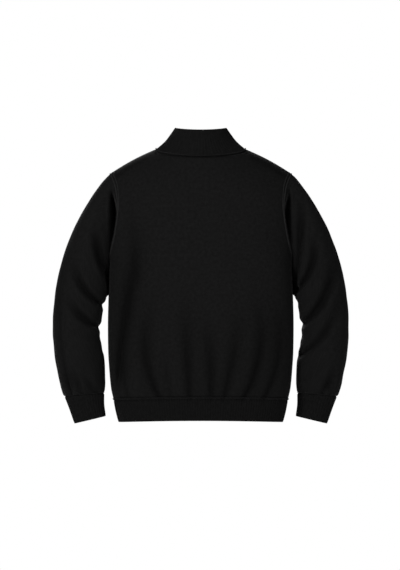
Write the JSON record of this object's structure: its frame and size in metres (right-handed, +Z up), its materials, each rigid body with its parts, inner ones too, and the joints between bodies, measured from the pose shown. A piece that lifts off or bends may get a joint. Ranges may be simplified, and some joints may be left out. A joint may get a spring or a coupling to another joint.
{
  "type": "zip-up cardigan",
  "caption": "Black fine-knit zip-up cardigan with ribbed stand collar, hem and cuffs, set-in sleeves and a closed front zip, filled out as if worn.",
  "frame": {"origin": "middle of the neck opening, at the height of the points where the shoulder seams meet the collar", "axes": "+Z up, the zip faces -Y and the back faces +Y, the wearer's left is +X"},
  "size_m": [0.7406, 0.219, 0.7392],
  "materials": {
    "jersey": "matt plain knit",
    "rib": "matt ribbed knit",
    "zip_tape": "woven tape",
    "zip_metal": "black, satin"
  },
  "bodies": {
    "garment": {"back": "jersey", "front_left": "jersey", "front_right": "jersey", "sleeve_left": "jersey", "sleeve_right": "jersey", "collar": "rib", "hem_rib": "rib", "cuff_left": "rib", "cuff_right": "rib", "zip_tape_left": "zip_tape", "zip_tape_right": "zip_tape", "zip_chain": "zip_metal", "zip_box": "zip_metal", "zip_stop_left": "zip_metal", "zip_stop_right": "zip_metal", "zip_slider": "zip_metal"},
    "pull_tab": {"zip_pull": "zip_metal"}
  },
  "joints": [
    {"name": "pull_swing", "type": "hinge", "parent": "garment", "child": "pull_tab", "pos_m": [0, -0.07842, 0.02616], "axis": [-1, 0, 0], "range_deg": [0, 170]}
  ]
}
